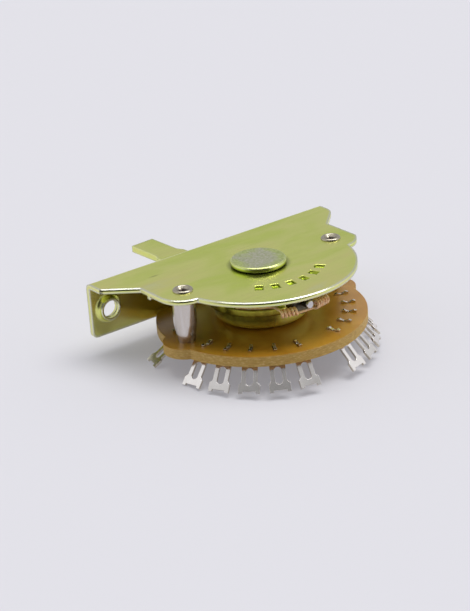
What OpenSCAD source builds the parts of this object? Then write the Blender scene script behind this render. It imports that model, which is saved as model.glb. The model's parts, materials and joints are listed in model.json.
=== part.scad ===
// Lever pickup selector switch with five positions and two poles.
// The origin is the middle of the mounting-hole line on the outer face of the flange.
// X runs along the flange, Y leaves by the lever and Z follows the pivot axis.

/* [Frame] */
// Distance between the centres of the two tapped mounting holes
hole_span = 41.28; // [39.5:0.01:43]
// Distance from the centre of the left mounting hole to the frame's left end
left_edge = 3.25; // [2.75:0.01:4.5]
// Distance from the centre of the right mounting hole to the frame's right end
right_edge = 2.4; // [2.2:0.01:4.5]
// Thickness of the frame sheet
sheet_t = 0.8; // [0.7:0.05:1]
// Height of the flange, from the top of the plate to its lower edge
flange_h = 9.4; // [8.4:0.05:11]
// Depth of the mounting-hole line below the top of the plate
hole_drop = 5; // [4.8:0.1:5.5]
// Diameter of the tapped mounting holes inside their thread
hole_d = 2.9; // [2.4:0.05:3.2]
// Outer diameter of the drawn collar round each mounting hole, at its end
collar_d = 3.7; // [3.4:0.1:4.4]
// Outer diameter of the drawn collar where it leaves the flange
collar_base_d = 5.2; // [4.6:0.1:5.4]
// Length of the drawn collar behind the flange
collar_l = 0.9; // [0.6:0.1:1.6]
// Outer radius of the fold between plate and flange
fold_r = 1.1; // [1:0.05:1.6]
// Distance of the pivot axis behind the mounting face
pivot_back = 13.45; // [12.5:0.05:14.5]
// Radius of the front edge of the plate about the pivot
plate_r = 15.6; // [15.2:0.1:16.6]
// Radius of the plate's ear round each standoff
ear_r = 4.2; // [3.4:0.1:4.6]
// Width of the strip that is sheared off the side of the right ear
ear_trim = 0.4; // [0.1:0.05:0.8]
// Rounding of the plate's left shoulder
left_round = 1.1; // [0.6:0.1:2.5]
// Rounding of the plate's right shoulder
right_round = 3; // [0.6:0.1:3.2]
// Length of the straight end of the plate, from the mounting face
end_l = 3.85; // [2.6:0.05:5]
// Distance of the notch behind the ear from the mounting face
notch_l = 8.05; // [6.5:0.05:9]

/* [Detent] */
// Angle between neighbouring switch positions
step_a = 15; // [13:0.5:16]
// Length of a bump along the radius
bump_l = 1.75; // [1.4:0.05:2]
// Width of a bump across the radius
bump_w = 1.35; // [0.9:0.05:1.4]
// Height of a bump below the plate
bump_h = 0.4; // [0.25:0.05:0.5]
// Diameter of the detent roller
roller_d = 4; // [3.4:0.1:4.2]
// Width of the rolling face of the detent roller
roller_w = 2.2; // [1.8:0.1:2.4]
// Diameter of the journals of the detent roller
journal_d = 1.3; // [1:0.05:1.5]
// Length of the outer journal beyond the rolling face
journal_l = 1.75; // [1.6:0.05:2.2]
// Gap between the lever's disc and the inner face of the roller
roller_side_gap = 0.25; // [0.2:0.05:0.4]
// Gap that lets the roller pass below the bumps
roller_gap = 0.04; // [0.03:0.01:0.1]

/* [Detent spring] */
// Diameter of the spring wire
wire_d = 0.45; // [0.35:0.01:0.5]
// Outer diameter of the two coils
coil_d = 1.55; // [1.4:0.05:1.7]
// Length of one coil along its axis
coil_l = 2.6; // [2.3:0.1:3]
// Full turns in each coil, besides its half turn
coil_turns = 4; // [3:1:5]
// Distance of the coils' middle from the end of the roller's journal, towards the pivot
coil_inset = 0.2; // [0.1:0.05:0.4]
// Angle of each coil from the roller, before the spring slips sideways
coil_a = 14.2; // [13.6:0.1:16]
// Angle by which both coils have slipped to the left of the roller
coil_slip = 3.2; // [0:0.1:3.4]

/* [Lever] */
// Length of the lever beyond the mounting face
lever_reach = 17.25; // [12:0.05:24]
// Angle by which the lever's blade leans to the left of the roller's line
lever_lean = 3; // [0:0.5:5]
// Thickness of the lever sheet
lever_t = 1.1; // [0.9:0.05:1.2]
// Width of the lever where it passes through the flange
lever_w = 5.5; // [5:0.1:6]
// Width of the tip that takes the knob
tip_w = 4.35; // [3.6:0.05:4.7]
// Length of the narrow tip
tip_l = 6.2; // [5:0.1:8]
// Radius of the flare from the tip to the full width
flare_r = 2.5; // [1.5:0.1:4]
// Width of the rim by which the lever's disc stands out beyond the cup
disc_rim = 0.9; // [0.8:0.05:1]
// Height of the lever slot in the flange
slot_h = 2.3; // [2:0.1:2.6]
// Side clearance left in the slot at the last positions
slot_gap = 0.15; // [0.1:0.05:0.4]

/* [Pivot] */
// Diameter of the round head on top of the plate
head_d = 8.9; // [7.5:0.1:10]
// Thickness of the round head
head_t = 0.9; // [0.6:0.05:1.2]
// Diameter of the shaft where it turns in the plate
neck_d = 5; // [4.4:0.1:5.6]
// Diameter of the shaft's collar between plate and lever
collar_shaft_d = 7.2; // [6.4:0.1:8]
// Diameter of the flatted lower shaft
drive_d = 4.6; // [4:0.1:5]
// Distance between the two flats of the lower shaft
drive_flat = 3.4; // [2.8:0.1:3.8]
// Radial clearance of everything that turns
run_fit = 0.03; // [0.02:0.01:0.06]
// End clearance of everything that turns
end_fit = 0.05; // [0.03:0.01:0.1]

/* [Cup] */
// Outer radius of the drawn cup under the lever
cup_r = 7.6; // [7.3:0.1:7.8]
// Wall of the drawn cup
cup_t = 0.7; // [0.5:0.05:0.8]
// Outer corner radius at the foot of the cup
cup_corner = 1.1; // [0.9:0.05:1.4]

/* [Wafer] */
// Length of the standoffs between plate and wafer
standoff_l = 7.6; // [7.4:0.1:9]
// Thickness of the wafer
wafer_t = 1.65; // [1.4:0.05:2.4]
// Radius of the wafer
wafer_r = 16.9; // [16.3:0.1:17.3]
// Gap between the flange and the straight back of the wafer
wafer_gap = 0.4; // [0.2:0.05:1]
// Radius of the wafer's ear round each standoff
wafer_ear_r = 3.75; // [3.5:0.05:4.2]

/* [Standoffs] */
// Distance between the axes of the two standoffs
standoff_span = 29.6; // [29.2:0.1:30]
// Outer diameter of a standoff
standoff_d = 3.7; // [3.2:0.1:4]
// Diameter of the funnel in each end of a standoff, at its mouth
funnel_d = 1.9; // [1.6:0.05:2]
// Depth of the funnel
funnel_l = 0.55; // [0.4:0.05:0.9]
// Diameter of the blind hole behind the funnel
standoff_bore = 0.8; // [0.6:0.05:1.2]
// Diameter of the rolled rim that closes a standoff
rim_d = 3.25; // [3:0.05:3.6]

/* [Terminals] */
// Thickness of the terminal sheet
term_t = 0.35; // [0.3:0.01:0.4]
// Radius of the clinched legs about the pivot
leg_r = 14; // [13.9:0.05:14.2]
// Length of a clinched leg along the radius where it passes through the wafer
leg_l = 1.7; // [1.5:0.05:1.8]
// Thickness of a clinched leg
leg_t = 0.45; // [0.35:0.05:0.5]
// Width of the terminal's base under the wafer
base_w = 2.47; // [2.3:0.01:2.6]
// Radius at which the solder lug bends down
bend_ring_r = 15.25; // [15.15:0.05:16.1]
// Inner radius of the lug's bend
bend_r = 0.4; // [0.3:0.05:0.6]
// Angle by which the lugs of the switched contacts bend down
bend_a = 48.5; // [30:0.5:75]
// Angle by which the lugs of the common contacts bend down
common_bend_a = 35; // [30:0.5:75]
// Length of the lug beyond its bend
lug_l = 4.45; // [3.4:0.05:5]
// Width of the lug's tip
lug_w = 3.33; // [2.9:0.01:3.6]
// Length of the wide part at the lug's tip
lug_tip_l = 1.35; // [1:0.05:1.8]
// Width of the oblong solder hole
eye_w = 1.15; // [0.9:0.05:1.4]
// Length of the oblong solder hole
eye_l = 2.75; // [1.8:0.05:3]
// Distance of the solder hole from the lug's tip
eye_tip = 1.25; // [0.9:0.05:1.6]
// Width of a contact finger
finger_w = 1.2; // [1:0.05:1.4]
// Radius that the fingers of the switched contacts reach in to
finger_in_r = 9.75; // [9.7:0.05:10]
// Radius that the fingers of the common contacts reach in to
common_in_r = 7.9; // [7.7:0.05:8.2]

/* [Rotor] */
// Radius of the rotor in the wafer
rotor_r = 6.3; // [6:0.05:6.4]
// Thickness of the rotor's contact blades
blade_t = 0.3; // [0.25:0.01:0.35]
// Inner radius of the contact blades
blade_in_r = 4.6; // [4.4:0.05:4.8]
// Outer radius of the blades' ring
blade_ring_r = 9.35; // [9.2:0.05:9.4]
// Outer radius of the blades' switching tab
blade_tab_r = 11; // [10.8:0.05:11.2]
// Width of the switching tab
blade_tab_w = 1.6; // [1.2:0.05:1.9]
// Gap between a blade and the fingers on each side of it
finger_gap = 0.06; // [0.04:0.01:0.1]

/* [Hidden] */
$fn = 64;

// Finishes
zinc = "#b4b95f";
nickel = "#c9c6bf";
laminate = "#a97a28";
tin = "#d9d6cc";
bronze = "#c58a5e";
nylon = "#ddd5c0";
brass = "#c9b877";
steel = "#8f8f93";

// Heights below are measured from the top of the plate, in the frame of the pivot axis.
left_end = hole_span / 2 + left_edge;
right_end = hole_span / 2 + right_edge;
frame_l = left_end + right_end;
plate_under = -sheet_t;
lever_top = -hole_drop + lever_t / 2;
lever_under = lever_top - lever_t;
wafer_top = plate_under - standoff_l;
wafer_under = wafer_top - wafer_t;
face_y = pivot_back;
inner_y = face_y - sheet_t;
fold_y = face_y - fold_r;
standoff_x = standoff_span / 2;
shank_wall = 0.3;
shank_r = funnel_d / 2 + shank_wall;
ear_x = standoff_x + ear_r;

lap = 0.02;
nib_y = 2.95;
nib_w = 0.7;
nib_h = 0.5;

// The roller hangs just below the bumps and rolls under them, outside the lever's disc.
disc_r = cup_r + disc_rim;
roller_z = plate_under - bump_h - roller_gap - roller_d / 2;
roller_in_r = disc_r + roller_side_gap;
bump_ring_r = roller_in_r + roller_w / 2;
journal_end_r = roller_in_r + roller_w + journal_l;
coil_ring_r = journal_end_r - coil_inset;
tab_t = 1;
tab_w = journal_d + 1.7;
tab_out_r = sqrt(pow(disc_r, 2) - pow(tab_w / 2, 2)) - lap;
tab_in_r = tab_out_r - tab_t;
throw = 2 * step_a;
lever_swing = throw + lever_lean;
slot_half = face_y * tan(lever_swing) + lever_w / 2 / cos(lever_swing) + slot_gap;
slot_corner = 0.45;
cup_tenons = [90, -170, -10];
tenon_w = 2;
tenon_fit = 0.05;
tenon_root = 0.5;
still_fit = 0.02;

// The spring wire passes under the outer journal and anchors in the lever's disc.
mean_r = (coil_d - wire_d) / 2;
bridge_z = roller_z - journal_d / 2 - wire_d / 2 - still_fit;
coil_z = bridge_z + mean_r;
leg_z = lever_top + wire_d / 2 + still_fit;
leg_from_a = 32;
leg_to_a = 62;
leg_corner = 0.4;
anchor_d = wire_d + 0.2;
leg_ring_r = disc_r - anchor_d / 2 - 0.15;

// Contact levels under the wafer
jaw_top = wafer_under - term_t;
blade_top = jaw_top - finger_gap;
blade_under = blade_top - blade_t;
jaw_low = blade_under - finger_gap;
finger_root_r = 12.4;
jaw_l = 1;
pole_a = -135;
pole_b = -45;
common_a_a = 165;
common_b_a = 15;
ring_margin = 9;
stud_d = 1.2;
stud_ring_r = (blade_in_r + rotor_r) / 2;
stud_head_d = 1.9;
stud_head_t = 0.35;
stud_spread = 24;
hub_drop = 0.6;

// Moves a child that is drawn about the pivot axis into the frame of the part.
module at_pivot() {
    translate([0, -pivot_back, hole_drop])
        children();
}

function polar(r, a) = [r * cos(a), r * sin(a)];

// A flat pie slice between two angles, cut off at a radius by a circle.
module sector(r, from_a, to_a) {
    span = to_a - from_a;
    steps = ceil(span / 40);
    reach = r / cos(span / steps / 2) + 1;
    intersection() {
        circle(r = r);
        polygon(concat([[0, 0]], [for (i = [0 : steps]) polar(reach, from_a + span * i / steps)]));
    }
}

// The sliver outside an arc of radius r that rounds the corner p between two edge directions.
module corner_sliver(p, toward_a, toward_b, r) {
    half = acos(toward_a * toward_b) / 2;
    mid = (toward_a + toward_b) / norm(toward_a + toward_b);
    run = r / tan(half);
    centre = p + mid * r / sin(half);
    difference() {
        polygon([p, p + toward_a * run, centre, p + toward_b * run]);
        translate(centre)
            circle(r = r);
    }
}

// A block with four sloping sides, its large face at z = 0 and its small face at z = -h.
module sloped_block(l, w, h, slope) {
    intersection() {
        rotate([90, 0, 0])
            translate([0, 0, -w])
                linear_extrude(2 * w)
                    polygon([[-l / 2, 0], [l / 2, 0], [l / 2 - slope, -h], [slope - l / 2, -h]]);
        rotate([90, 0, 90])
            translate([0, 0, -l])
                linear_extrude(2 * l)
                    polygon([[-w / 2, 0], [w / 2, 0], [w / 2 - slope, -h], [slope - w / 2, -h]]);
    }
}

// The plate beside +X, from its end past the shoulder and the notch to the standoff
module plate_wing(end, side, shoulder_r) {
    shoulder = [end, face_y - end_l];
    notch = [side, face_y - notch_l];
    slant = (notch - shoulder) / norm(notch - shoulder);
    difference() {
        polygon([[0, fold_y], [end, fold_y], shoulder, notch, [side, 0], [0, 0]]);
        corner_sliver(shoulder, [0, 1], slant, shoulder_r);
    }
}

// Outline of the plate, seen from above
module plate_outline() {
    difference() {
        circle(r = plate_r, $fn = 128);
        translate([-2 * plate_r, fold_y])
            square([4 * plate_r, plate_r]);
    }
    plate_wing(right_end, ear_x - ear_trim, right_round);
    mirror([1, 0])
        plate_wing(left_end, ear_x, left_round);
    translate([-standoff_x, 0])
        circle(r = ear_r);
    translate([standoff_x, 0])
        difference() {
            circle(r = ear_r);
            translate([ear_r - ear_trim, -ear_r])
                square([ear_r, 2 * ear_r]);
        }
}

// Section of the fold and flange in the plane across the flange
module flange_section() {
    difference() {
        translate([fold_y, -fold_r])
            circle(r = fold_r);
        translate([fold_y, -fold_r])
            circle(r = fold_r - sheet_t);
        translate([fold_y - 2 * fold_r, -3 * fold_r])
            square([2 * fold_r, 4 * fold_r]);
        translate([fold_y - 2 * fold_r, -3 * fold_r])
            square([4 * fold_r, 2 * fold_r]);
    }
    translate([inner_y, -flange_h])
        square([sheet_t, flange_h - fold_r]);
}

// Drawn collar of a mounting hole: it stands on z = 0, with a fillet at its root
module collar() {
    fillet = (collar_base_d - collar_d) / 2;
    rotate_extrude() {
        translate([0, -lap])
            square([collar_d / 2, collar_l + lap]);
        difference() {
            translate([0, -lap])
                square([collar_base_d / 2, fillet]);
            translate([collar_base_d / 2, fillet - lap])
                circle(r = fillet);
        }
    }
}

// Slot for the lever, drawn across the flange
module lever_slot() {
    translate([0, 0, -hole_drop]) {
        cube([2 * slot_half, 3 * sheet_t, slot_h - 2 * slot_corner], center = true);
        cube([2 * (slot_half - slot_corner), 3 * sheet_t, slot_h], center = true);
        for (sx = [-1, 1], sz = [-1, 1])
            translate([sx * (slot_half - slot_corner), 0, sz * (slot_h / 2 - slot_corner)])
                rotate([90, 0, 0])
                    cylinder(r = slot_corner, h = 3 * sheet_t, center = true);
    }
}

// Frame: plate and flange folded from one zinc-plated sheet
module frame() {
    corner = 0.85;
    entry = 0.45;
    bump_slope = 0.2;
    dimple_slope = 0.15;
    color(zinc)
        at_pivot()
            difference() {
                union() {
                    translate([0, 0, plate_under])
                        linear_extrude(sheet_t)
                            plate_outline();
                    translate([-left_end, 0, 0])
                        rotate([90, 0, 90])
                            linear_extrude(frame_l)
                                flange_section();
                    intersection() {
                        for (s = [-1, 1])
                            translate([s * hole_span / 2, inner_y, -hole_drop])
                                rotate([90, 0, 0])
                                    collar();
                        translate([-left_end, 0, -flange_h])
                            cube([frame_l, face_y, flange_h]);
                    }
                    for (i = [0 : 5])
                        rotate(-90 + step_a * (i - 2.5))
                            translate([bump_ring_r, 0, plate_under])
                                sloped_block(bump_l, bump_w, bump_h, bump_slope);
                    translate([-ear_x, nib_y, plate_under - nib_h])
                        cube([nib_w, nib_w, nib_h + lap]);
                }
                translate([0, face_y + sheet_t, 0])
                    rotate([90, 0, 0])
                        linear_extrude(3 * sheet_t) {
                            corner_sliver([right_end, -flange_h], [-1, 0], [0, 1], corner);
                            corner_sliver([-left_end, -flange_h], [1, 0], [0, 1], corner);
                        }
                for (s = [-1, 1])
                    translate([s * hole_span / 2, face_y, -hole_drop])
                        rotate([90, 0, 0]) {
                            translate([0, 0, -1])
                                cylinder(d = hole_d, h = sheet_t + collar_l + 2);
                            translate([0, 0, -entry])
                                cylinder(d1 = hole_d + 4 * entry, d2 = hole_d, h = 2 * entry);
                        }
                translate([0, face_y - sheet_t / 2, 0])
                    lever_slot();
                for (i = [0 : 5])
                    rotate(-90 + step_a * (i - 2.5))
                        translate([bump_ring_r, 0, 0])
                            sloped_block(bump_l, bump_w, bump_h, dimple_slope);
                cylinder(d = neck_d + 2 * run_fit, h = 4 * sheet_t, center = true);
                for (s = [-1, 1])
                    translate([s * standoff_x, 0, 0])
                        cylinder(r = shank_r + still_fit, h = 4 * sheet_t, center = true);
            }
}

// Round bar with two flats, as long as h
module flatted_bar(grow, h) {
    intersection() {
        cylinder(d = drive_d + 2 * grow, h = h);
        translate([-drive_d, -drive_flat / 2 - grow, 0])
            cube([2 * drive_d, drive_flat + 2 * grow, h]);
    }
}

// Pivot shaft: riveted head, neck in the plate, collar under it and a flatted drive for the rotor
module pivot_shaft() {
    edge = 0.2;
    foot = blade_under - hub_drop - 0.1;
    color(zinc)
        at_pivot() {
            rotate_extrude()
                polygon([
                    [0, end_fit + head_t], [head_d / 2 - edge, end_fit + head_t],
                    [head_d / 2, end_fit + head_t - edge], [head_d / 2, end_fit + edge],
                    [head_d / 2 - edge, end_fit], [neck_d / 2, end_fit],
                    [neck_d / 2, plate_under - end_fit], [collar_shaft_d / 2, plate_under - end_fit],
                    [collar_shaft_d / 2, lever_top], [0, lever_top]
                ]);
            translate([0, 0, foot])
                flatted_bar(0, lever_top - foot);
        }
}

// Fillet between a disc about the origin and the right side of a bar along +Y
module root_fillet(disc, half_w, r) {
    x = half_w + r;
    y = sqrt(pow(disc + r - lap, 2) - pow(x, 2));
    touch = [x, y] * (disc - 3 * lap) / (disc + r);
    difference() {
        polygon([[0, 0], touch, [x, y], [0, y]]);
        translate([x, y])
            circle(r = r);
    }
}

// Outline of the lever's blade along +Y, with the fillets at its root
module blade_outline() {
    tip_y = face_y + lever_reach;
    wide_y = tip_y - tip_l - flare_r;
    step = (lever_w - tip_w) / 2;
    translate([-lever_w / 2, 0])
        square([lever_w, wide_y]);
    translate([-tip_w / 2, 0])
        square([tip_w, tip_y]);
    for (s = [0, 1])
        mirror([s, 0]) {
            difference() {
                translate([tip_w / 2 - lap, wide_y])
                    square([step + lap, flare_r]);
                translate([tip_w / 2 + flare_r, wide_y + flare_r])
                    circle(r = flare_r);
            }
            root_fillet(disc_r, lever_w / 2, 3);
        }
}

// Lever: blade, disc and the upright tab that carries the roller's inner journal
module lever() {
    color(zinc)
        at_pivot()
            difference() {
                union() {
                    translate([0, 0, lever_under])
                        linear_extrude(lever_t) {
                            circle(r = disc_r, $fn = 96);
                            rotate(lever_lean)
                                blade_outline();
                        }
                    translate([0, -tab_in_r, 0])
                        rotate([90, 0, 0])
                            linear_extrude(tab_t) {
                                translate([0, roller_z])
                                    circle(d = tab_w);
                                translate([-tab_w / 2, lever_under])
                                    square([tab_w, roller_z - lever_under]);
                            }
                }
                translate([0, -tab_in_r + 1, roller_z])
                    rotate([90, 0, 0])
                        cylinder(d = journal_d + 2 * run_fit, h = tab_t + 2);
                translate([0, 0, lever_under - 1])
                    flatted_bar(still_fit, lever_t + 2);
                translate([0, 0, lever_under - 1])
                    tenons(tenon_fit, lever_t + 2);
                for (s = [-1, 1])
                    rotate(-90 + s * anchor_a)
                        translate([leg_ring_r, 0, lever_under - 1])
                            cylinder(d = anchor_d, h = lever_t + 2);
            }
}

// The cup's three tenons, as ring segments of height h that stand on z = 0
module tenons(grow, h) {
    intersection() {
        difference() {
            cylinder(r = cup_r + grow, h = h);
            translate([0, 0, -1])
                cylinder(r = cup_r - cup_t - grow, h = h + 2);
        }
        for (a = cup_tenons)
            rotate(a)
                translate([cup_r - 2 * cup_t, -tenon_w / 2 - grow, 0])
                    cube([3 * cup_t, tenon_w + 2 * grow, h]);
    }
}

// Cup: drawn drum under the lever, held by three tenons through the lever's disc
module detent_cup() {
    foot = wafer_top + 3 * end_fit;
    wall_h = lever_under - foot;
    inner_corner = cup_corner - cup_t;
    color(zinc)
        at_pivot()
            difference() {
                union() {
                    translate([0, 0, foot])
                        rotate_extrude()
                            difference() {
                                union() {
                                    square([cup_r - cup_corner, wall_h]);
                                    translate([0, cup_corner])
                                        square([cup_r, wall_h - cup_corner]);
                                    translate([cup_r - cup_corner, cup_corner])
                                        circle(r = cup_corner);
                                }
                                translate([0, cup_t + inner_corner])
                                    square([cup_r - cup_t, wall_h]);
                                translate([0, cup_t])
                                    square([cup_r - cup_t - inner_corner, wall_h]);
                                translate([cup_r - cup_corner, cup_corner])
                                    circle(r = inner_corner);
                            }
                    translate([0, 0, lever_under - tenon_root])
                        tenons(0, lever_t + tenon_root);
                }
                translate([0, 0, foot - 1])
                    flatted_bar(still_fit, cup_t + 2);
            }
}

// Roller: turned barrel with two journals, its axis along the radius
module detent_roller() {
    edge = 0.15;
    journal_edge = 0.1;
    inner_end_r = tab_in_r - 0.2;
    color(steel)
        at_pivot()
            translate([0, 0, roller_z])
                rotate([90, 0, 0])
                    rotate_extrude()
                        polygon([
                            [0, inner_end_r], [journal_d / 2, inner_end_r],
                            [journal_d / 2, roller_in_r], [roller_d / 2 - edge, roller_in_r],
                            [roller_d / 2, roller_in_r + edge], [roller_d / 2, roller_in_r + roller_w - edge],
                            [roller_d / 2 - edge, roller_in_r + roller_w], [journal_d / 2, roller_in_r + roller_w],
                            [journal_d / 2, journal_end_r - journal_edge],
                            [journal_d / 2 - journal_edge, journal_end_r],
                            [0, journal_end_r]
                        ]);
}

// Spring wire: its bridge under the journal, a coil on each side and a leg to each anchor
coil_steps = 12;
coil_from = -90;
coil_to = 90 + 360 * coil_turns;
wire_bend = 0.3;
coil_lead = 1.4;
leg_lead = 1.6;
anchor_a = leg_to_a + leg_corner / leg_ring_r * 180 / PI;
leg_start = ring_point(leg_from_a, leg_z);
leg_dir = concat(polar(1, leg_from_a), [0]);
function unit(v) = v / norm(v);
function bezier(p, t) =
    pow(1 - t, 3) * p[0] + 3 * t * pow(1 - t, 2) * p[1] + 3 * t * t * (1 - t) * p[2] + pow(t, 3) * p[3];
function ring_point(a, z) = concat(polar(leg_ring_r, -90 + a), [z]);
// Turns a point of the upright frame at a coil (along, out, up) into the frame of the pivot.
function coil_point(a, q) =
    let (out = polar(1, -90 + a), along = [-out[1], out[0]], xy = out * (coil_ring_r + q[1]) + along * q[0])
    [xy[0], xy[1], q[2]];
function helix(a, turn) =
    coil_point(a, [
        coil_l * ((turn - coil_from) / (coil_to - coil_from) - 0.5),
        mean_r * cos(turn),
        coil_z + mean_r * sin(turn)
    ]);
// The right-hand half of the wire, from the bridge to the anchor, with its coil at the angle a
function half_route(a) =
    let (
        start = helix(a, coil_from),
        end = helix(a, coil_to),
        start_dir = unit(helix(a, coil_from + 1) - start),
        end_dir = unit(end - helix(a, coil_to - 1)),
        bridge_end = [start[0] - wire_bend, start[1] + wire_bend, bridge_z],
        into_coil = [bridge_end, bridge_end + [wire_bend * 0.7, 0, 0], start - start_dir * wire_bend * 0.7, start],
        out_of_coil = [end, end + end_dir * coil_lead, leg_start - leg_dir * leg_lead, leg_start]
    )
    concat(
        [for (i = [0 : 4]) bezier(into_coil, i / 5)],
        [for (turn = [coil_from : 360 / coil_steps : coil_to - 1]) helix(a, turn)],
        [for (i = [0 : 9]) bezier(out_of_coil, i / 10)],
        [for (i = [0 : 6]) ring_point(leg_from_a + (leg_to_a - leg_from_a) * i / 6, leg_z)],
        [for (b = [22.5 : 22.5 : 90])
            ring_point(leg_to_a + leg_corner * sin(b) / leg_ring_r * 180 / PI, leg_z - leg_corner * (1 - cos(b)))],
        [ring_point(anchor_a, lever_under + 0.1)]
    );
right_half = half_route(coil_a - coil_slip);
left_half = half_route(coil_a + coil_slip);
spring_route = concat(
    [for (i = [len(left_half) - 1 : -1 : 0]) let (p = left_half[i]) [-p[0], p[1], p[2]]],
    right_half
);

// A tube of eight sides along a route, its rings turned as little as possible from one to the next.
module wire(route, d) {
    n = len(route);
    sides = 8;
    dirs = [for (i = [0 : n - 1]) unit(route[min(i + 1, n - 1)] - route[max(i - 1, 0)])];
    first = unit(cross(dirs[0], [0.3, 0.5, 0.1]));
    sidew = [
        for (i = 0, u = first; i < n; i = i + 1, u = i < n ? unit(u - (u * dirs[i]) * dirs[i]) : u)
        unit(u - (u * dirs[i]) * dirs[i])
    ];
    points = [
        for (i = [0 : n - 1], k = [0 : sides - 1])
        route[i] + d / 2 * (cos(360 * k / sides) * sidew[i] + sin(360 * k / sides) * cross(dirs[i], sidew[i]))
    ];
    skin = [
        for (i = [0 : n - 2], k = [0 : sides - 1])
        let (a = i * sides + k, b = i * sides + (k + 1) % sides)
        [a, a + sides, b + sides, b]
    ];
    near = [for (k = [0 : sides - 1]) k];
    far = [for (k = [sides - 1 : -1 : 0]) (n - 1) * sides + k];
    polyhedron(points, concat(skin, [near], [far]), convexity = 10);
}

// Detent spring: one wire with a coil on each side of the roller and a leg to each anchor
module detent_spring() {
    color(bronze)
        at_pivot()
            wire(spring_route, wire_d);
}

// Standoff: turned post between plate and wafer, drilled and rolled over at both ends
module standoff() {
    bore_r = standoff_bore / 2;
    mouth_r = funnel_d / 2;
    body_r = standoff_d / 2;
    taper = 3;
    foot_r = shank_r + 0.12;
    lip = 0.15;
    drill_l = 1.8;
    low = wafer_under - lip;
    color(nickel) {
        rotate_extrude()
            polygon([
                [0, low + drill_l], [bore_r, low + drill_l], [bore_r, low + funnel_l], [mouth_r, low],
                [shank_r, low], [shank_r, wafer_top], [foot_r, wafer_top], [body_r, wafer_top + taper],
                [body_r, plate_under], [shank_r, plate_under], [shank_r, lip],
                [mouth_r, lip], [bore_r, lip - funnel_l], [bore_r, lip - drill_l], [0, lip - drill_l]
            ]);
        rolled_rim();
        translate([0, 0, wafer_under])
            mirror([0, 0, 1])
                rolled_rim();
    }
}

// Rolled rim that stands on z = 0
module rolled_rim() {
    w = (rim_d - funnel_d) / 2;
    rotate_extrude()
        translate([funnel_d / 2, 0])
            intersection() {
                translate([w / 2, 0])
                    circle(d = w);
                square([w, w]);
            }
}

module standoff_left() {
    at_pivot()
        translate([-standoff_x, 0, 0])
            standoff();
}

module standoff_right() {
    at_pivot()
        translate([standoff_x, 0, 0])
            standoff();
}

// Outline of the wafer, seen from above
module wafer_outline() {
    back_y = inner_y - wafer_gap;
    difference() {
        circle(r = wafer_r, $fn = 128);
        translate([-2 * wafer_r, back_y])
            square([4 * wafer_r, wafer_r]);
    }
    for (s = [-1, 1])
        translate([s * standoff_x, 0])
            circle(r = wafer_ear_r);
}

// Wafer: paper laminate with the rotor's bore, the standoff holes and a slot for each terminal
module wafer() {
    leg_fit = 0.05;
    color(laminate)
        at_pivot()
            difference() {
                translate([0, 0, wafer_under])
                    linear_extrude(wafer_t)
                        wafer_outline();
                translate([0, 0, wafer_under - 1])
                    cylinder(r = rotor_r + run_fit, h = wafer_t + 2);
                for (s = [-1, 1])
                    translate([s * standoff_x, 0, wafer_under - 1])
                        cylinder(r = shank_r + still_fit, h = wafer_t + 2);
                for (a = terminal_angles())
                    rotate(a)
                        translate([leg_r, 0, wafer_under + wafer_t / 2])
                            cube([leg_l + 2 * leg_fit, leg_t + 2 * leg_fit, wafer_t + 2], center = true);
            }
}

function terminal_angles() = concat(
    [for (p = [pole_a, pole_b], i = [-2 : 2]) p + step_a * i],
    [common_a_a, common_b_a]
);

// Rotor: moulded disc that turns in the wafer, with heat-staked studs for the blades
module rotor() {
    color(nylon)
        at_pivot()
            difference() {
                union() {
                    translate([0, 0, blade_top])
                        cylinder(r = rotor_r, h = wafer_top - end_fit - blade_top);
                    translate([0, 0, blade_under - hub_drop])
                        cylinder(r = blade_in_r - 0.3, h = blade_t + hub_drop + 0.1);
                    for (a = stud_angles())
                        rotate(a)
                            translate([stud_ring_r, 0, 0]) {
                                translate([0, 0, blade_under - stud_head_t / 2])
                                    cylinder(d = stud_d, h = blade_t + stud_head_t);
                                translate([0, 0, blade_under - stud_head_t])
                                    cylinder(d1 = stud_d, d2 = stud_head_d, h = stud_head_t);
                            }
                }
                translate([0, 0, blade_under - hub_drop - 1])
                    flatted_bar(still_fit, wafer_top - blade_under + hub_drop + 2);
            }
}

function stud_angles() = [
    for (b = [[common_a_a, pole_a + 360], [pole_b, common_b_a]], s = [-1, 1])
    (b[0] + b[1]) / 2 + s * stud_spread
];

// Contact blade of one pole: a ring that stays in its common contact and one switching tab
module rotor_blade(common, pole) {
    low = min(common, pole);
    high = max(common, pole);
    ring_from = low == common ? common - throw - ring_margin : pole - ring_margin;
    ring_to = low == common ? pole + ring_margin : common + throw + ring_margin;
    color(brass)
        at_pivot()
            translate([0, 0, blade_under])
                difference() {
                    linear_extrude(blade_t)
                        difference() {
                            union() {
                                sector(blade_ring_r, ring_from, ring_to);
                                rotate(pole)
                                    translate([blade_in_r, -blade_tab_w / 2])
                                        square([blade_tab_r - blade_in_r, blade_tab_w]);
                            }
                            circle(r = blade_in_r);
                        }
                    for (s = [-1, 1])
                        rotate((low + high) / 2 + s * stud_spread)
                            translate([stud_ring_r, 0, -1])
                                cylinder(d = stud_d + 2 * still_fit, h = blade_t + 2);
                }
}

module rotor_blade_a() {
    rotor_blade(common_a_a, pole_a + 360);
}

module rotor_blade_b() {
    rotor_blade(common_b_a, pole_b);
}

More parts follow.
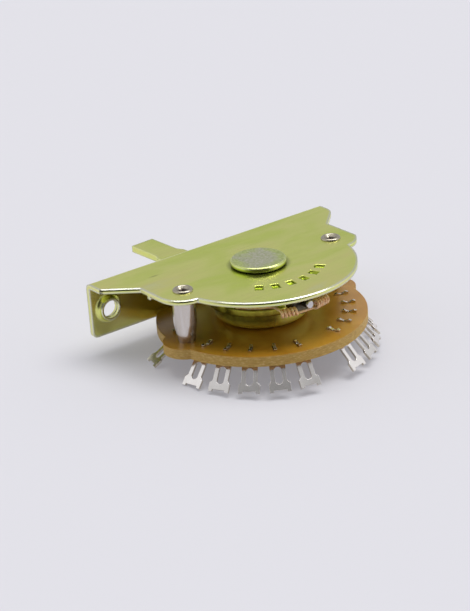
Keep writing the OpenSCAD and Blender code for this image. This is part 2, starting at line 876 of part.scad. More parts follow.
// Flat outline of a solder lug, its length along x
module lug_outline() {
    shoulder = (lug_w - base_w) / 2;
    foot = 0.62;
    recess = 0.32;
    eye_end = lug_l - eye_tip;
    difference() {
        union() {
            translate([-lap, -base_w / 2])
                square([lug_l + lap, base_w]);
            translate([lug_l - lug_tip_l, -lug_w / 2])
                square([lug_tip_l, lug_w]);
            for (s = [0, 1])
                mirror([0, s])
                    polygon([
                        [lug_l - lug_tip_l - shoulder, base_w / 2 - 0.1],
                        [lug_l - lug_tip_l, base_w / 2 - 0.1],
                        [lug_l - lug_tip_l, lug_w / 2],
                        [lug_l - lug_tip_l - shoulder, base_w / 2]
                    ]);
        }
        translate([lug_l - recess, foot - lug_w / 2])
            square([1, lug_w - 2 * foot]);
        translate([eye_end - eye_l + eye_w / 2, -eye_w / 2])
            square([eye_l - eye_w, eye_w]);
        for (x = [eye_end - eye_l + eye_w / 2, eye_end - eye_w / 2])
            translate([x, 0])
                circle(d = eye_w);
    }
}

// Clinched leg in the plane of the radius and the height, its middle at x = 0
module leg_section() {
    half = leg_l / 2;
    reach = half + 0.35;
    difference() {
        union() {
            translate([-half, jaw_top])
                square([leg_l, wafer_top - jaw_top]);
            for (s = [0, 1])
                mirror([s, 0])
                    polygon([
                        [0, wafer_top - 0.1], [half, wafer_top - 0.1], [half, wafer_top],
                        [reach - 0.05, wafer_top + 0.02], [reach, wafer_top + 0.3],
                        [half - 0.1, wafer_top + 0.42], [half - 0.4, wafer_top + 0.24], [0, wafer_top + 0.1]
                    ]);
        }
        polygon([[-0.22, wafer_top + 1], [0, wafer_top - 0.35], [0.22, wafer_top + 1]]);
    }
}

// Terminal: solder lug, base, clinched leg and a pair of contact fingers, folded from one strip
module terminal(angle, in_r, down_a) {
    bend_z = jaw_top - bend_r;
    rise = 90 - down_a;
    color(tin)
        at_pivot()
            rotate(angle) {
                translate([finger_root_r, -base_w / 2, jaw_top])
                    cube([bend_ring_r - finger_root_r + lap, base_w, term_t]);
                translate([in_r, -finger_w / 2, jaw_top])
                    cube([finger_root_r - in_r + 0.1, finger_w, term_t]);
                translate([finger_root_r, base_w / 2 - term_t, jaw_low - term_t])
                    cube([jaw_l, term_t, jaw_top - jaw_low + 2 * term_t]);
                translate([finger_root_r, -finger_w / 2, jaw_low - term_t])
                    cube([jaw_l, (base_w + finger_w) / 2, term_t]);
                translate([in_r, -finger_w / 2, jaw_low - term_t])
                    cube([finger_root_r - in_r + 0.1, finger_w, term_t]);
                translate([bend_ring_r, 0, bend_z])
                    rotate([90, 0, 0])
                        rotate([0, 0, rise])
                            translate([0, 0, -base_w / 2])
                                rotate_extrude(angle = down_a)
                                    translate([bend_r, 0])
                                        square([term_t, base_w]);
                translate([bend_ring_r + bend_r * cos(rise), 0, bend_z + bend_r * sin(rise)])
                    rotate([0, down_a, 0])
                        linear_extrude(term_t)
                            lug_outline();
                translate([leg_r, leg_t / 2, 0])
                    rotate([90, 0, 0])
                        linear_extrude(leg_t)
                            leg_section();
            }
}

module terminal_a1() { terminal(pole_a - 2 * step_a, finger_in_r, bend_a); }
module terminal_a2() { terminal(pole_a - step_a, finger_in_r, bend_a); }
module terminal_a3() { terminal(pole_a, finger_in_r, bend_a); }
module terminal_a4() { terminal(pole_a + step_a, finger_in_r, bend_a); }
module terminal_a5() { terminal(pole_a + 2 * step_a, finger_in_r, bend_a); }
module common_a() { terminal(common_a_a, common_in_r, common_bend_a); }
module terminal_b1() { terminal(pole_b - 2 * step_a, finger_in_r, bend_a); }
module terminal_b2() { terminal(pole_b - step_a, finger_in_r, bend_a); }
module terminal_b3() { terminal(pole_b, finger_in_r, bend_a); }
module terminal_b4() { terminal(pole_b + step_a, finger_in_r, bend_a); }
module terminal_b5() { terminal(pole_b + 2 * step_a, finger_in_r, bend_a); }
module common_b() { terminal(common_b_a, common_in_r, common_bend_a); }

frame();
pivot_shaft();
lever();
detent_cup();
detent_roller();
detent_spring();
standoff_left();
standoff_right();
wafer();
rotor();
rotor_blade_a();
rotor_blade_b();
terminal_a1();
terminal_a2();
terminal_a3();
terminal_a4();
terminal_a5();
common_a();
terminal_b1();
terminal_b2();
terminal_b3();
terminal_b4();
terminal_b5();
common_b();
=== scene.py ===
"""Looks of the lever selector switch: finishes, threads, floor, light and camera."""
import json
import math

import bpy
from mathutils import Matrix, Vector


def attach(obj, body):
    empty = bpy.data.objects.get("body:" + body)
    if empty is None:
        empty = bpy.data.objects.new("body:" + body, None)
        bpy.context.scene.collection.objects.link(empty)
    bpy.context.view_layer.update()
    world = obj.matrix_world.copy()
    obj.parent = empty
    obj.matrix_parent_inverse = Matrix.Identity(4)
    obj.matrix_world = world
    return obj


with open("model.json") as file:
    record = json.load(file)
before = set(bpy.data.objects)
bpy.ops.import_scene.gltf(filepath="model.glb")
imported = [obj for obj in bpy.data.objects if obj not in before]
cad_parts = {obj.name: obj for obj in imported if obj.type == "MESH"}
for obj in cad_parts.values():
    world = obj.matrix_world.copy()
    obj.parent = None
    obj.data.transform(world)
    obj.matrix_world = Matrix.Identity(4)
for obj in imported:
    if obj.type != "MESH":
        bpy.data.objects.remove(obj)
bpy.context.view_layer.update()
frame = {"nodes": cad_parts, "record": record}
nodes = frame["nodes"]

MM = 0.001

# Places and sizes of the CAD pieces, in millimetres
PIVOT = Vector((0, -13.45, 5))
SHEET = 0.8
PLATE_TOP = PIVOT.z
PLATE_UNDER = PLATE_TOP - SHEET
HOLE_X = 20.64
HOLE_R = 1.45
COLLAR_END = -1.7
HEAD_TOP = 5.95
HEAD_R = 4.45
STANDOFF_X = 14.8
DIMPLE_RING = 9.85
DISC_R = 8.5
WAFER_TOP = -3.4
JOURNAL_END_Y = -26.15

# The camera, fitted to the photograph about the pivot: degrees, millimetres and pixels
CAMERA_AZIMUTH = -35.69
CAMERA_ELEVATION = 23.47
CAMERA_ROLL = -4.03
CAMERA_SIDE = -3.72
CAMERA_UP = -6.64
CAMERA_BACK = 308.2
FOCAL_PX = 1953.13
LONG_SIDE_PX = 611
SENSOR_MM = 36


class Tree:
    """A node tree with short calls for the nodes that the finishes share."""

    def __init__(self, tree):
        self.tree = tree
        self.tree.nodes.clear()

    def add(self, kind, **settings):
        node = self.tree.nodes.new(kind)
        for name, value in settings.items():
            setattr(node, name, value)
        return node

    def put(self, value, socket):
        """Links an output to a socket, or sets the socket to a plain value."""
        if isinstance(value, bpy.types.NodeSocket):
            self.tree.links.new(value, socket)
        elif isinstance(value, tuple) and len(value) == 3 and len(socket.default_value) == 4:
            socket.default_value = (*value, 1)
        else:
            socket.default_value = value

    def math(self, operation, a, b=0.0):
        node = self.add("ShaderNodeMath", operation=operation)
        self.put(a, node.inputs[0])
        self.put(b, node.inputs[1])
        return node.outputs["Value"]

    def times(self, a, b):
        return self.math("MULTIPLY", a, b)

    def within(self, value, centre, half):
        """1 where a value is less than half away from a centre, and 0 elsewhere."""
        away = self.math("ABSOLUTE", self.math("SUBTRACT", value, centre))
        return self.math("LESS_THAN", away, half)

    def span(self, value, low, high, out_low=0.0, out_high=1.0, smooth=False):
        """A value carried from one range to another and held at its ends."""
        node = self.add("ShaderNodeMapRange", clamp=True)
        if smooth:
            node.interpolation_type = "SMOOTHSTEP"
        self.put(value, node.inputs["Value"])
        node.inputs["From Min"].default_value = low
        node.inputs["From Max"].default_value = high
        self.put(out_low, node.inputs["To Min"])
        self.put(out_high, node.inputs["To Max"])
        return node.outputs["Result"]

    def vector(self, x=0.0, y=0.0, z=0.0):
        node = self.add("ShaderNodeCombineXYZ")
        for value, socket in zip((x, y, z), node.inputs):
            self.put(value, socket)
        return node.outputs["Vector"]

    def vector_math(self, operation, a, b):
        """The vector or, for a dot product or a distance, the number that comes out of two vectors."""
        node = self.add("ShaderNodeVectorMath", operation=operation)
        self.put(a, node.inputs[0])
        self.put(b, node.inputs[1])
        return node.outputs["Value" if operation in ("DOT_PRODUCT", "DISTANCE") else "Vector"]

    def unit(self, vector):
        node = self.add("ShaderNodeVectorMath", operation="NORMALIZE")
        self.put(vector, node.inputs[0])
        return node.outputs["Vector"]

    def mix(self, share, a, b, blend="MIX"):
        node = self.add("ShaderNodeMix", data_type="RGBA", blend_type=blend)
        self.put(share, node.inputs[0])
        self.put(a, node.inputs[6])
        self.put(b, node.inputs[7])
        return node.outputs[2]

    def tinted(self, colour, tint):
        """A colour times another colour."""
        return self.mix(1.0, colour, tint, "MULTIPLY")

    def shaded(self, colour, shade):
        """A colour times a value."""
        node = self.add("ShaderNodeCombineColor")
        for channel in range(3):
            self.put(shade, node.inputs[channel])
        return self.tinted(colour, node.outputs["Color"])

    def ramp(self, value, *stops):
        """A colour that follows a value through stops of (place, colour)."""
        node = self.add("ShaderNodeValToRGB")
        self.put(value, node.inputs["Fac"])
        points = node.color_ramp.elements
        while len(points) < len(stops):
            points.new(0.5)
        for point, (place, colour) in zip(points, stops):
            point.position = place
            point.color = (*colour, 1)
        return node.outputs["Color"]

    def place(self, stretch=(1, 1, 1)):
        """The point on the piece in millimetres, times a stretch along each axis."""
        mapping = self.add("ShaderNodeMapping")
        mapping.inputs["Scale"].default_value = [s / MM for s in stretch]
        self.put(self.add("ShaderNodeTexCoord").outputs["Object"], mapping.inputs["Vector"])
        return mapping.outputs["Vector"]

    def parts(self, vector):
        """The X, Y and Z of a vector."""
        node = self.add("ShaderNodeSeparateXYZ")
        self.put(vector, node.inputs[0])
        return node.outputs

    def xyz(self):
        """The X, Y and Z of the point on the piece, in millimetres."""
        return self.parts(self.place())

    def noise(self, per_mm, stretch=(1, 1, 1), detail=3.0, rough=0.5, warp=0.0):
        node = self.add("ShaderNodeTexNoise")
        self.put(self.place(stretch), node.inputs["Vector"])
        node.inputs["Scale"].default_value = per_mm
        node.inputs["Detail"].default_value = detail
        node.inputs["Roughness"].default_value = rough
        node.inputs["Distortion"].default_value = warp
        return node.outputs["Fac"]

    def near(self, spot, stretch, radius_mm):
        """1 at a spot, fading to 0 at a radius that the stretch divides along each axis."""
        stretched = tuple(s * k for s, k in zip(spot, stretch))
        distance = self.vector_math("DISTANCE", self.place(stretch), stretched)
        return self.span(distance, 0, radius_mm, 1, 0, smooth=True)

    def from_axis(self, centre_x=0.0, both=False):
        """Millimetres from an upright axis abreast of the pivot, or from the nearer of two."""
        x, y, _ = self.xyz()
        if both:
            x = self.math("ABSOLUTE", x)
        across = self.math("SUBTRACT", x, centre_x)
        along = self.math("SUBTRACT", y, PIVOT.y)
        square = self.math("ADD", self.times(across, across), self.times(along, along))
        return self.math("SQRT", square)

    def own_normal(self):
        """The normal in the piece's own frame."""
        return self.add("ShaderNodeTexCoord").outputs["Normal"]

    def facing_up(self):
        """How far the face looks up in the piece's own frame, from -1 to 1."""
        return self.parts(self.own_normal())["Z"]

    def lying_flat(self):
        """1 on faces that look straight up or down in the piece's own frame, 0 on upright ones."""
        return self.math("ABSOLUTE", self.facing_up())

    def rounded(self, radius_mm):
        """A normal that lets the light roll over the sharp edges of a piece."""
        node = self.add("ShaderNodeBevel", samples=6)
        node.inputs["Radius"].default_value = radius_mm * MM
        return node.outputs["Normal"]

    def edge(self, radius_mm):
        """0 on flat faces, rising towards 1 over the sharp edges."""
        flat_cosine = 0.995
        edge_cosine = 0.85
        true_normal = self.add("ShaderNodeNewGeometry").outputs["Normal"]
        cosine = self.vector_math("DOT_PRODUCT", self.rounded(radius_mm), true_normal)
        return self.span(cosine, flat_cosine, edge_cosine)

    def bump(self, height, distance_mm, strength, edge_mm):
        """A normal that follows a height, on edges rounded to edge_mm."""
        node = self.add("ShaderNodeBump")
        node.inputs["Strength"].default_value = strength
        node.inputs["Distance"].default_value = distance_mm * MM
        self.put(height, node.inputs["Height"])
        self.put(self.rounded(edge_mm), node.inputs["Normal"])
        return node.outputs["Normal"]

    def rolled_over(self, normal, top_mm, depth_mm, lean):
        """A normal leaned upwards on the sheared sides of a sheet, just under its upper face."""
        aslant = 0.3
        upright = 0.1
        spare_mm = 0.01
        z = self.xyz()["Z"]
        on_side = self.span(self.lying_flat(), aslant, upright)
        near_top = self.span(z, top_mm - depth_mm, top_mm, 0, lean)
        not_above = self.math("LESS_THAN", z, top_mm + spare_mm)
        share = self.times(self.times(on_side, near_top), not_above)
        up = self.add(
            "ShaderNodeVectorTransform",
            vector_type="VECTOR", convert_from="OBJECT", convert_to="WORLD")
        self.put(self.vector(z=share), up.inputs[0])
        return self.unit(self.vector_math("ADD", normal, up.outputs[0]))


def new_material(name):
    """A material, the tree that it is drawn in and the sockets of its one shader."""
    material = bpy.data.materials.new(name)
    material.use_nodes = True
    tree = Tree(material.node_tree)
    shader = tree.add("ShaderNodeBsdfPrincipled")
    output = tree.add("ShaderNodeOutputMaterial")
    tree.put(shader.outputs["BSDF"], output.inputs["Surface"])
    return material, tree, shader.inputs


def finish(name, colour, rough, normal=None, metallic=0.0, specular=0.5, subsurface=0.0):
    """A material whose colour, roughness and normal are plain values or functions of its tree."""
    glow_by_colour = (1.0, 0.5, 0.12)
    glow_depth = 0.6 * MM
    material, tree, sockets = new_material(name)
    sockets["Metallic"].default_value = metallic
    sockets["Specular IOR Level"].default_value = specular
    if subsurface:
        sockets["Subsurface Weight"].default_value = subsurface
        sockets["Subsurface Radius"].default_value = glow_by_colour
        sockets["Subsurface Scale"].default_value = glow_depth
    tree.put(colour(tree) if callable(colour) else colour, sockets["Base Color"])
    tree.put(rough(tree) if callable(rough) else rough, sockets["Roughness"])
    if normal:
        tree.put(normal(tree), sockets["Normal"])
    return material


def soft_edge(radius_mm):
    return lambda tree: tree.rounded(radius_mm)


# Zinc plating with yellow-green chromate, rolled along X
LIME = (0.67, 0.77, 0.14)
OLIVE = (0.76, 0.80, 0.22)
STRAW = (0.80, 0.78, 0.25)
LILAC_GREY = (0.76, 0.76, 0.34)
# Darker lime painted into the dimples as shade
DIMPLE_SHADE_LIME = (0.40, 0.48, 0.05)
# Paler along the sharp edges: wear, and a painted sheen
WORN_EDGE_SHEEN = (0.74, 0.75, 0.70)

# Where they are, in millimetres. A dimple's length lies along a radius from the pivot. Here and
# below, two values in one name are where a change of finish begins and where it is complete.
GREENER_X = (-22, 10)
DIMPLE_HALF_L = 1.4
DIMPLE_MIDDLE_Z = PLATE_TOP - 0.35
DIMPLE_HALF_H = 0.3
SHEEN_EDGE_R = 0.8
# Width of the ring of painted shade round the head of the shaft
SHADE_RING_W = 0.9
SMUDGE = (-14.7, -5.6, PLATE_TOP)
SMUDGE_STRETCH = (0.35, 1, 1)
SMUDGE_R = 0.45


def rolling_lines(tree):
    """Fine lines left by the rolling of the sheet, along X."""
    return tree.noise(2.4, stretch=(0.03, 1, 1), detail=4, rough=0.65)


def patches(tree):
    """Wide and faint patches, greener towards +X."""
    greener = tree.span(tree.xyz()["X"], *GREENER_X, 0.1, -0.15)
    cloud = tree.noise(0.13, stretch=(0.5, 1, 1), detail=4, rough=0.5, warp=0.5)
    patch = tree.math("ADD", cloud, greener)
    return tree.ramp(patch, (0.34, LIME), (0.48, OLIVE), (0.60, STRAW), (0.70, LILAC_GREY))


def sheet_shade(tree, radius, z):
    """Fine lines, a smudge on the plate and a ring of painted shade round the head of the shaft."""
    lines = tree.span(rolling_lines(tree), 0.3, 0.7, 0.95, 1.03)
    smudge = tree.span(tree.near(SMUDGE, SMUDGE_STRETCH, SMUDGE_R), 0, 1, 1, 0.7)
    # Painted shade on the plate round the foot of the head
    painted_shade_ring = tree.span(radius, HEAD_R, HEAD_R + SHADE_RING_W, 0.5, 1, smooth=True)
    on_plate = tree.within(z, PLATE_TOP, 0.02)
    return tree.times(tree.times(lines, smudge), tree.span(on_plate, 0, 1, 1, painted_shade_ring))


def chromate(tree, wear_and_sheen=0.9):
    """The shaded patches, with a darker lime painted in the dimples as shade, and the sharp edges
    paler, worn and given a painted sheen.
    """
    z = tree.xyz()["Z"]
    radius = tree.from_axis()
    colour = tree.shaded(patches(tree), sheet_shade(tree, radius, z))
    in_ring = tree.within(radius, DIMPLE_RING, DIMPLE_HALF_L)
    in_dimple = tree.times(in_ring, tree.within(z, DIMPLE_MIDDLE_Z, DIMPLE_HALF_H))
    # Painted shade in the dimples, tinted lime
    colour = tree.mix(in_dimple, colour, DIMPLE_SHADE_LIME)
    # Sharp edges paler as wear and as a painted sheen, kept out of the dimples
    worn = tree.span(tree.edge(SHEEN_EDGE_R), 0, 1, 0, tree.span(in_ring, 0, 1, wear_and_sheen, 0))
    return tree.mix(worn, colour, WORN_EDGE_SHEEN)


def zinc_rough(tree):
    """Satin on the flats, brighter on the edges that the dies drew over."""
    return tree.span(tree.edge(0.3), 0, 0.5, 0.25, 0.14)


def zinc_bump(tree):
    lines = tree.bump(rolling_lines(tree), distance_mm=0.003, strength=0.3, edge_mm=0.35)
    return tree.rolled_over(lines, top_mm=PLATE_TOP, depth_mm=0.48, lean=1.05)


# The same plating on the drum and on the lever's disc, mottled like old grease and darkened as
# painted shade under the plate. These colours multiply the plating's: the mottle darkens it, and
# the other two brighten it as painted light towards +X and round the drum's lower edge.
GREASE_AND_SHADE = ((0.35, (0.40, 0.33, 0.20)), (0.65, (0.66, 0.58, 0.42)))
PAINTED_LIGHT_RIGHT = (2.1, 1.9, 1.7)
PAINTED_LIGHT_LOW = (2.4, 2.0, 1.7)
LIT_RIGHT_X = (-3, -0.8)
LIT_FOOT_Z = (WAFER_TOP + 1.7, WAFER_TOP + 0.5)
BLADE_R = (DISC_R + 0.1, DISC_R + 0.6)


def grease_and_painted_light(tree):
    """Painted light brightening the plating towards +X and round the drum's lower edge."""
    x, _, z = tree.xyz()
    # Mottled like old grease, and darker overall as painted shade under the plate
    film_and_light = tree.ramp(tree.noise(0.9, detail=4), *GREASE_AND_SHADE)
    # Painted light towards +X
    film_and_light = tree.mix(tree.span(x, *LIT_RIGHT_X, smooth=True), film_and_light, PAINTED_LIGHT_RIGHT)
    # Painted light round the drum's lower edge
    film_and_light = tree.mix(tree.span(z, *LIT_FOOT_Z, 0, 0.8), film_and_light, PAINTED_LIGHT_LOW)
    return tree.tinted(chromate(tree), film_and_light)


def greased_rough(tree):
    return tree.span(tree.xyz()["X"], *LIT_RIGHT_X, 0.24, 0.5)


def lever_colour(tree):
    """Mottled like grease and darkened as painted shade on the disc under the plate, and clean on the
    blade.
    """
    on_blade = tree.span(tree.from_axis(), *BLADE_R)
    return tree.mix(on_blade, grease_and_painted_light(tree), chromate(tree, wear_and_sheen=0.25))


# The shaft's riveted head
HEAD_MIDDLE = ((0.36, (0.34, 0.38, 0.20)), (0.5, (0.45, 0.46, 0.31)), (0.62, (0.56, 0.54, 0.48)))
HEAD_RIM = ((0.36, (0.32, 0.39, 0.11)), (0.62, (0.54, 0.60, 0.26)))
HEAD_RIM_R = (1.6, 4.6)
HEAD_SKIN_Z = (HEAD_TOP - 0.06, HEAD_TOP - 0.02)
HEAD_SKIN_R = (HEAD_R - 0.12, HEAD_R - 0.3)
HEAD_FOOT_SHADE_Z = (PLATE_TOP + 0.1, PLATE_TOP + 0.65)


def head_colour(tree):
    """A matt and mottled top, grey in the middle and green towards the rim, and painted shade on the
    side, darkest at its foot.
    """
    z = tree.xyz()["Z"]
    radius = tree.from_axis()
    mottle = tree.noise(3.0, detail=5, rough=0.7)
    wander = tree.span(tree.noise(0.35, detail=3), 0.3, 0.7, -1.8, 1.8)
    at_rim = tree.span(tree.math("ADD", radius, wander), *HEAD_RIM_R, smooth=True)
    top = tree.mix(at_rim, tree.ramp(mottle, *HEAD_MIDDLE), tree.ramp(mottle, *HEAD_RIM))
    on_top = tree.times(tree.span(z, *HEAD_SKIN_Z), tree.span(radius, *HEAD_SKIN_R))
    # Painted shade on the side of the head, darkest where it meets the plate
    shade = tree.span(z, *HEAD_FOOT_SHADE_Z, 0.3, 1, smooth=True)
    return tree.mix(on_top, tree.shaded(chromate(tree), shade), top)


def head_rough(tree):
    return tree.span(tree.facing_up(), 0.9, 0.99, 0.2, 0.46)


def head_bump(tree):
    mottle = tree.noise(4, detail=5, rough=0.7)
    return tree.bump(mottle, distance_mm=0.02, strength=0.5, edge_mm=0.35)


# Nickel plating on the turned standoffs
NICKEL = ((0.3, (0.58, 0.53, 0.48)), (0.5, (0.63, 0.58, 0.54)), (0.72, (0.68, 0.64, 0.61)))
NICKEL_RIM = (0.43, 0.39, 0.30)
BORE_SHADE = (0.03, 0.02, 0.015)
NICKEL_RIM_R = (0.6, 0.85)
IN_PLATE_Z = (PLATE_UNDER, PLATE_UNDER + 0.1)


def nickel_colour(tree):
    """Nickel with a warm cast, duller on the rolled rims, with painted shade down in the drilled ends.
    """
    shank = tree.ramp(tree.noise(1.6, stretch=(1, 1, 0.1), detail=3), *NICKEL)
    radius = tree.from_axis(STANDOFF_X, both=True)
    # Painted shade in the drilled end, giving way to the rolled rim
    rim = tree.mix(tree.span(radius, *NICKEL_RIM_R, smooth=True), BORE_SHADE, NICKEL_RIM)
    return tree.mix(tree.span(tree.xyz()["Z"], *IN_PLATE_Z), shank, rim)


def nickel_rough(tree):
    return tree.span(tree.noise(1.2, stretch=(1, 1, 0.2), detail=3), 0.3, 0.7, 0.14, 0.22)


def nickel_normal(tree):
    """Soft edges, and a shank that mirrors like a straight one."""
    on_shank = tree.math("LESS_THAN", tree.xyz()["Z"], PLATE_UNDER - 0.02)
    level = tree.vector(1, 1, tree.span(on_shank, 0, 1, 1, 0.25))
    return tree.unit(tree.vector_math("MULTIPLY", tree.rounded(0.08), level))


# Oiled steel of the roller, painted darker as shade under the plate
OILED_STEEL_SHADE = ((0.3, (0.05, 0.045, 0.03)), (0.6, (0.13, 0.12, 0.09)))
BRIGHT_STEEL = (0.62, 0.60, 0.60)
BRIGHT_Y = (JOURNAL_END_Y + 0.5, JOURNAL_END_Y + 0.2)


def steel_colour(tree):
    """Oiled steel painted dark as shade under the plate, with a bright end on the journal."""
    # Oiled steel, darkened further as painted shade
    body = tree.ramp(tree.noise(1.5, detail=4), *OILED_STEEL_SHADE)
    return tree.mix(tree.span(tree.xyz()["Y"], *BRIGHT_Y), body, BRIGHT_STEEL)


# Phenolic paper laminate of the wafer
AMBER = ((0.32, (0.38, 0.175, 0.012)), (0.52, (0.44, 0.21, 0.016)), (0.70, (0.51, 0.26, 0.025)))
FIBROUS = ((0.36, (0.44, 0.25, 0.035)), (0.54, (0.54, 0.335, 0.06)), (0.70, (0.74, 0.56, 0.22)))


def fibre(tree):
    """The paper's fibres, which show along the sheared edges."""
    return tree.noise(2.8, stretch=(0.5, 0.5, 2.2), detail=5, rough=0.7)


def edge_to_face(tree, at_edge, on_face):
    """One value along the sheared edges and another on the flat faces."""
    upright = 0.35
    level = 0.8
    return tree.span(tree.lying_flat(), upright, level, at_edge, on_face)


def laminate_colour(tree):
    """Amber with darker clouds, paler and fibrous along the sheared edges."""
    cloud = tree.noise(0.16, detail=4, rough=0.55, warp=0.4)
    face = tree.ramp(cloud, *AMBER)
    return tree.mix(edge_to_face(tree, 0, 1), tree.ramp(fibre(tree), *FIBROUS), face)


def laminate_rough(tree):
    return edge_to_face(tree, 0.6, 0.28)


def laminate_bump(tree):
    height = tree.times(fibre(tree), edge_to_face(tree, 1.0, 0.05))
    return tree.bump(height, distance_mm=0.06, strength=0.5, edge_mm=0.15)


# Tin plating on the brass strip of the terminals
TIN = ((0.3, (0.84, 0.80, 0.76)), (0.52, (0.88, 0.85, 0.81)), (0.7, (0.92, 0.89, 0.86)))
WORN_TIN = ((0.35, (0.44, 0.36, 0.22)), (0.65, (0.66, 0.58, 0.42)))
CLINCHED_Z = (WAFER_TOP, WAFER_TOP + 0.1)


def sheared(tree):
    """1 on the sheared sides of a terminal, which face along the ring, and 0 on its flat faces."""
    aslant = 0.75
    straight = 0.95
    x, y, _ = tree.xyz()
    from_pivot = tree.math("SUBTRACT", y, PIVOT.y)
    along_ring = tree.unit(tree.vector(tree.times(from_pivot, -1.0), x))
    facing = tree.vector_math("DOT_PRODUCT", along_ring, tree.own_normal())
    return tree.span(tree.math("ABSOLUTE", facing), aslant, straight)


def tin_colour(tree):
    """Tin with a warm cast, brassy where the strip was sheared and where it is clinched."""
    plate = tree.ramp(tree.noise(0.6, detail=4, rough=0.6), *TIN)
    worn = tree.ramp(tree.noise(2.5, detail=4), *WORN_TIN)
    clinched = tree.span(tree.xyz()["Z"], *CLINCHED_Z, 0, 0.45)
    share = tree.math("MAXIMUM", tree.times(sheared(tree), 0.6), clinched)
    return tree.mix(share, plate, worn)


def tin_rough(tree):
    return tree.span(tree.noise(0.7, detail=3), 0.3, 0.7, 0.18, 0.23)


def tin_bump(tree):
    dents = tree.noise(0.8, detail=2)
    return tree.bump(dents, distance_mm=0.005, strength=0.2, edge_mm=0.07)


# Bronze wire, silver-washed brass and nylon
COPPER = ((0.32, (0.90, 0.48, 0.24)), (0.5, (1.0, 0.67, 0.38)), (0.68, (1.0, 0.86, 0.64)))
BRASS = ((0.3, (0.62, 0.54, 0.33)), (0.65, (0.78, 0.72, 0.52)))
NYLON = ((0.3, (0.66, 0.60, 0.46)), (0.7, (0.76, 0.71, 0.58)))


def wire_colour(tree):
    return tree.ramp(tree.noise(2.2, detail=4), *COPPER)


def brass_colour(tree):
    return tree.ramp(tree.noise(0.8, detail=4), *BRASS)


def nylon_colour(tree):
    return tree.ramp(tree.noise(0.5, detail=3), *NYLON)


SLOT_FINISHES = {
    "zinc_steel": finish("zinc_chromate", chromate, zinc_rough, zinc_bump, metallic=1.0),
    "nickel": finish("nickel_plate", nickel_colour, nickel_rough, nickel_normal, metallic=0.9),
    "roller_steel": finish("oiled_steel_shaded", steel_colour, 0.32, soft_edge(0.08), metallic=1.0),
    "laminate": finish(
        "paper_laminate", laminate_colour, laminate_rough, laminate_bump,
        specular=0.75, subsurface=0.15),
    "nylon": finish("moulded_nylon", nylon_colour, 0.42, soft_edge(0.1)),
    "tinned_brass": finish("tin_plate", tin_colour, tin_rough, tin_bump, metallic=1.0),
    "contact_brass": finish("silvered_brass", brass_colour, 0.24, soft_edge(0.05), metallic=1.0),
    "spring_bronze": finish("bronze_wire", wire_colour, 0.42, metallic=0.35),
}

# Nodes of the zinc_steel slot with their own wear, grease, painted light and painted shade
NODE_FINISHES = {
    "pivot_shaft": finish("zinc_chromate_head", head_colour, head_rough, head_bump, metallic=1.0),
    "detent_cup": finish("zinc_chromate_cup", grease_and_painted_light, greased_rough, soft_edge(0.3), metallic=0.75),
    "lever": finish("zinc_chromate_lever", lever_colour, zinc_rough, zinc_bump, metallic=1.0),
}


def dress_nodes():
    """Each node takes its own finish, or else that of its material slot."""
    for subpart in frame["record"]["subparts"]:
        name = subpart["node"]
        look = NODE_FINISHES.get(name, SLOT_FINISHES[subpart["material_slot"]])
        for slot in nodes[name].material_slots:
            slot.material = look


def thread(name, centre_x):
    """A helical ridge on the wall of a mounting hole, with both ends run out into the wall."""
    pitch = 0.6
    depth = 0.1
    sink = 0.05
    half_base = 0.2
    half_crest = 0.05
    turn_steps = 48
    run_out_steps = 8
    first_y = -0.45
    base_r = HOLE_R + sink
    crest_r = HOLE_R - depth
    profile = (
        (base_r, -half_base), (crest_r, -half_crest),
        (crest_r, half_crest), (base_r, half_base))
    turns = (first_y - COLLAR_END - half_base) / pitch
    count = int(turns * turn_steps)
    points = []
    for i in range(count + 1):
        turn = 2 * math.pi * i / turn_steps
        taper = min(1.0, i / run_out_steps, (count - i) / run_out_steps)
        for radius, along in profile:
            r = base_r + (radius - base_r) * taper
            points.append(Vector((
                centre_x + r * math.cos(turn),
                first_y - pitch * i / turn_steps + along,
                r * math.sin(turn),
            )) * MM)
    size = len(profile)
    faces = []
    for i in range(count):
        for k in range(size):
            a = i * size + k
            b = i * size + (k + 1) % size
            faces.append((a, b, b + size, a + size))
    faces.append(tuple(range(size - 1, -1, -1)))
    faces.append(tuple(count * size + k for k in range(size)))
    mesh = bpy.data.meshes.new(name)
    mesh.from_pydata(points, [], faces)
    mesh.materials.append(SLOT_FINISHES["zinc_steel"])
    mesh.update()
    piece = bpy.data.objects.new(name, mesh)
    bpy.context.scene.collection.objects.link(piece)
    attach(piece, "frame_body")


def pale_paper():
    """The floor's paper, whose shadows are paler for the rays that the camera or a mirror sees."""
    colour = (0.632, 0.627, 0.66)
    # How the lit floor looks away from any shadow, and the share of it that no shadow takes
    in_the_open = (0.766, 0.759, 0.814)
    lift = 0.26
    material, tree, sockets = new_material("pale_paper")
    ray = tree.add("ShaderNodeLightPath").outputs
    seen = tree.math("MAXIMUM", ray["Is Camera Ray"], ray["Is Glossy Ray"])
    seen = tree.math("MAXIMUM", seen, ray["Is Transmission Ray"])
    sockets["Roughness"].default_value = 0.9
    sockets["Specular IOR Level"].default_value = 0.1
    tree.put(tree.mix(seen, colour, tuple(c * (1 - lift) for c in colour)), sockets["Base Color"])
    tree.put(tuple(c * lift for c in in_the_open), sockets["Emission Color"])
    tree.put(seen, sockets["Emission Strength"])
    return material


def lowest(name):
    """The vertex of a node that touches the floor first: the lowest one, nearest the flange."""
    same_height = 0.01 * MM
    corners = [v.co for v in nodes[name].data.vertices]
    low = min(c.z for c in corners)
    return max((c for c in corners if c.z < low + same_height), key=lambda c: c.y)


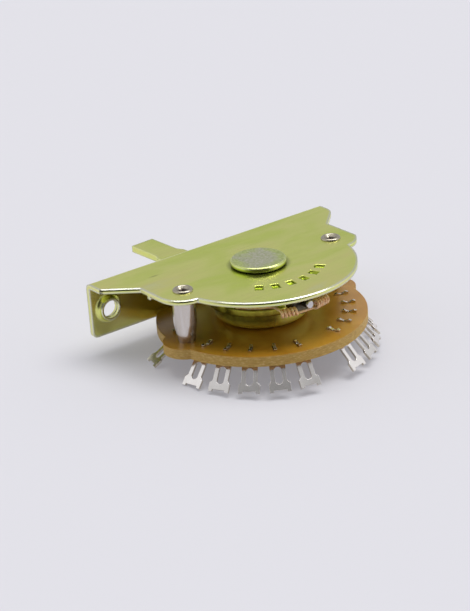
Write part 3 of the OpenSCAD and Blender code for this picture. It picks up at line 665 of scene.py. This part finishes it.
def make_floor():
    """A pale floor through the tips of the lugs that the switch rests on."""
    front = lowest("terminal_a1")
    back = lowest("common_a")
    slope = math.atan2(back.z - front.z, back.y - front.y)
    half = 3000 * MM
    corners = [(-half, -half, 0), (half, -half, 0), (half, half, 0), (-half, half, 0)]
    mesh = bpy.data.meshes.new("floor")
    mesh.from_pydata(corners, [], [(0, 1, 2, 3)])
    mesh.materials.append(pale_paper())
    floor = bpy.data.objects.new("floor", mesh)
    floor.matrix_world = Matrix.Translation((0, front.y, front.z)) @ Matrix.Rotation(slope, 4, "X")
    bpy.context.scene.collection.objects.link(floor)


def towards(azimuth, elevation):
    """The direction at an azimuth from +X and an elevation, in degrees."""
    a = math.radians(azimuth)
    e = math.radians(elevation)
    return Vector((math.cos(a) * math.cos(e), math.sin(a) * math.cos(e), math.sin(e)))


def make_world():
    """A fixed white tent, dimmer behind the object and dark on the side it is photographed from."""
    tent_white = (0.95, 0.95, 0.98)
    world = bpy.data.worlds.new("tent")
    world.use_nodes = True
    bpy.context.scene.world = world
    tree = Tree(world.node_tree)
    direction = tree.add("ShaderNodeTexCoord").outputs["Generated"]

    def spread(centre, *rings):
        """A grey that changes with the angle from a centre, by rings of (degrees, grey)."""
        cosine = tree.vector_math("DOT_PRODUCT", direction, centre)
        return tree.ramp(cosine, *((math.cos(math.radians(a)), (g, g, g)) for a, g in rings))

    behind = spread(towards(54, 18), (66, 0.9), (46, 0.62), (32, 0.57))
    in_front = spread(
        towards(-122, 15),
        (72, 1.0), (63, 0.8), (55, 0.42), (50, 0.34), (42, 0.32), (36, 0.06), (1, 0.04))
    light = tree.tinted(tree.tinted(behind, in_front), tent_white)
    background = tree.add("ShaderNodeBackground")
    tree.put(light, background.inputs["Color"])
    output = tree.add("ShaderNodeOutputWorld")
    tree.put(background.outputs["Background"], output.inputs["Surface"])


def soft_lamp(name, azimuth, elevation, angle, strength):
    """A distant soft lamp, seen from the object at an azimuth and elevation and as wide as angle."""
    lamp = bpy.data.lights.new(name, "SUN")
    lamp.energy = strength
    lamp.angle = math.radians(angle)
    holder = bpy.data.objects.new(name, lamp)
    holder.rotation_mode = "QUATERNION"
    holder.rotation_quaternion = towards(azimuth, elevation).to_track_quat("Z", "Y")
    bpy.context.scene.collection.objects.link(holder)


def make_camera():
    """The camera of the photograph, from its angles about the pivot."""
    a = math.radians(CAMERA_AZIMUTH)
    e = math.radians(CAMERA_ELEVATION)
    r = math.radians(CAMERA_ROLL)
    back = Vector((math.sin(a) * math.cos(e), -math.cos(a) * math.cos(e), math.sin(e)))
    level = Vector((math.cos(a), math.sin(a), 0))
    upright = back.cross(level)
    right = level * math.cos(r) + upright * math.sin(r)
    up = -level * math.sin(r) + upright * math.cos(r)
    place = PIVOT + right * CAMERA_SIDE + up * CAMERA_UP + back * CAMERA_BACK
    data = bpy.data.cameras.new("camera")
    data.sensor_fit = "AUTO"
    data.sensor_width = SENSOR_MM
    data.lens = FOCAL_PX * SENSOR_MM / LONG_SIDE_PX
    data.clip_start = 10 * MM
    data.clip_end = 10000 * MM
    camera = bpy.data.objects.new("camera", data)
    turn = Matrix((right, up, back)).transposed().to_4x4()
    camera.matrix_world = Matrix.Translation(place * MM) @ turn
    bpy.context.scene.collection.objects.link(camera)
    bpy.context.scene.camera = camera


dress_nodes()
thread("thread_left", -HOLE_X)
thread("thread_right", HOLE_X)
make_floor()
make_world()
soft_lamp("top_lamp", azimuth=54, elevation=86, angle=42, strength=1.15)
soft_lamp("side_lamp", azimuth=-26, elevation=62, angle=30, strength=1.05)
make_camera()
bpy.context.scene.view_settings.view_transform = "Standard"
